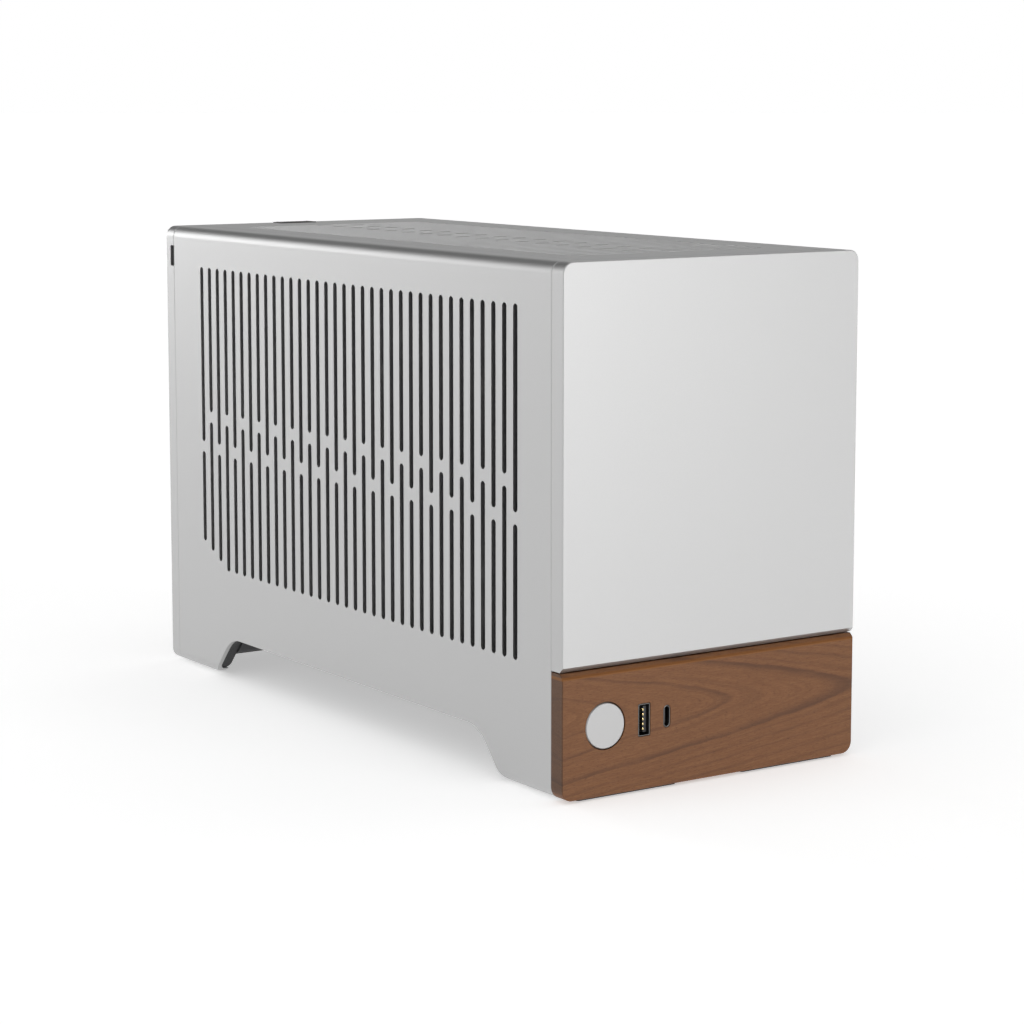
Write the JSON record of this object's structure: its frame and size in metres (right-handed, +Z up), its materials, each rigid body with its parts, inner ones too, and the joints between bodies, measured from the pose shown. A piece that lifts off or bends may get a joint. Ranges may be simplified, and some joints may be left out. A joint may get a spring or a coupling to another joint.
{
  "type": "desktop computer tower",
  "caption": "Compact silver desktop computer tower with a walnut lower front, slotted fold-down sides, a lift-up slotted lid and its full set of internal parts.",
  "frame": {"origin": "on the floor, midway between the sides and between the front and rear faces", "axes": "+X to the right seen from the front, +Y from the front face to the rear face, +Z up"},
  "size_m": [0.153, 0.343, 0.2191],
  "materials": {
    "silver_aluminium": "bead-blasted and clear anodised",
    "walnut": "oiled walnut, satin",
    "tab_leather": "grained leather",
    "foot_rubber": "matt rubber",
    "black_steel": "fine textured black powder coat",
    "black_plastic": "matt moulded",
    "plated_steel": "nickel plated",
    "circuit_board": "black solder mask",
    "standoff_brass": "turned",
    "fin_aluminium": "stamped fins",
    "dark_aluminium": "black anodised",
    "cable_jacket": "matt PVC"
  },
  "bodies": {
    "case": {"front_panel": "silver_aluminium", "front_wood_panel": "walnut", "rear_bezel": "silver_aluminium", "rubber_feet": "foot_rubber", "power_button_housing": "black_plastic", "front_usb_a_port": "plated_steel", "front_usb_c_port": "plated_steel", "front_io_board": "circuit_board", "chassis_front_wall": "black_steel", "chassis_rear_panel": "black_steel", "chassis_bottom_tray": "black_steel", "left_hinge_rail": "black_steel", "right_hinge_rail": "black_steel", "top_rails": "black_steel", "spine_plate": "black_steel", "panel_catches": "black_plastic", "case_screws": "plated_steel", "motherboard_standoffs": "standoff_brass", "motherboard_pcb": "circuit_board", "rear_io_ports": "plated_steel", "io_shield": "plated_steel", "ram_slots": "black_plastic", "ram_modules": "dark_aluminium", "cpu_package": "plated_steel", "cpu_cooler_heatsink": "fin_aluminium", "cpu_fan_frame": "black_plastic", "vrm_heatsink": "dark_aluminium", "ssd_heatsink": "dark_aluminium", "board_sockets": "black_plastic", "riser_plug": "black_plastic", "riser_ribbon": "cable_jacket", "riser_socket": "black_plastic", "psu_case": "black_steel", "psu_output_sockets": "black_plastic", "psu_fan_frame": "black_plastic", "psu_fan_grille": "black_steel", "psu_ac_inlet": "black_plastic", "psu_rocker_frame": "black_plastic", "psu_brackets": "black_steel", "gpu_pcb": "circuit_board", "gpu_backplate": "dark_aluminium", "gpu_heatsink": "fin_aluminium", "gpu_shroud": "black_plastic", "gpu_bracket": "plated_steel", "gpu_video_ports": "plated_steel", "gpu_power_cable": "cable_jacket", "board_power_cable": "cable_jacket", "rear_ac_inlet": "black_plastic", "ac_lead": "cable_jacket", "ac_plug": "black_plastic"},
    "power_button": {"power_button_cap": "silver_aluminium"},
    "left_panel": {"left_side_panel": "silver_aluminium"},
    "right_panel": {"right_side_panel": "silver_aluminium"},
    "top_lid": {"top_panel": "silver_aluminium", "top_pull_tab": "tab_leather"},
    "cpu_fan": {"cpu_fan_rotor": "black_plastic"},
    "psu_fan": {"psu_fan_rotor": "black_plastic"},
    "psu_switch": {"psu_rocker_switch": "black_plastic"},
    "gpu_fan_back": {"gpu_fan_rear": "black_plastic"},
    "gpu_fan_fore": {"gpu_fan_front": "black_plastic"}
  },
  "joints": [
    {"name": "power_button_press", "type": "slide", "parent": "case", "child": "power_button", "axis": [0, 1, 0], "range_m": [0, 0.0012], "stiffness_N_per_m": 1500, "springref_m": -0.0006},
    {"name": "left_panel_hinge", "type": "hinge", "parent": "case", "child": "left_panel", "pos_m": [-0.0715, 0, 0.006], "axis": [0, -1, 0], "range_deg": [0, 90]},
    {"name": "right_panel_hinge", "type": "hinge", "parent": "case", "child": "right_panel", "pos_m": [0.0715, 0, 0.006], "axis": [0, 1, 0], "range_deg": [0, 90]},
    {"name": "top_lid_hinge", "type": "hinge", "parent": "case", "child": "top_lid", "pos_m": [0, -0.16236, 0.2177], "axis": [1, 0, 0], "range_deg": [0, 75]},
    {"name": "cpu_fan_spin", "type": "hinge", "parent": "case", "child": "cpu_fan", "pos_m": [-0.055, 0.082, 0.14], "axis": [1, 0, 0], "continuous": true},
    {"name": "psu_fan_spin", "type": "hinge", "parent": "case", "child": "psu_fan", "pos_m": [-0.063, -0.078, 0.1245], "axis": [1, 0, 0], "continuous": true},
    {"name": "psu_switch_rock", "type": "hinge", "parent": "case", "child": "psu_switch", "pos_m": [-0.038, -0.127, 0.088], "axis": [1, 0, 0], "range_deg": [-18, 0]},
    {"name": "gpu_fan_back_spin", "type": "hinge", "parent": "case", "child": "gpu_fan_back", "pos_m": [0.05, 0.098, 0.133], "axis": [1, 0, 0], "continuous": true},
    {"name": "gpu_fan_fore_spin", "type": "hinge", "parent": "case", "child": "gpu_fan_fore", "pos_m": [0.05, -0.018, 0.133], "axis": [1, 0, 0], "continuous": true}
  ]
}
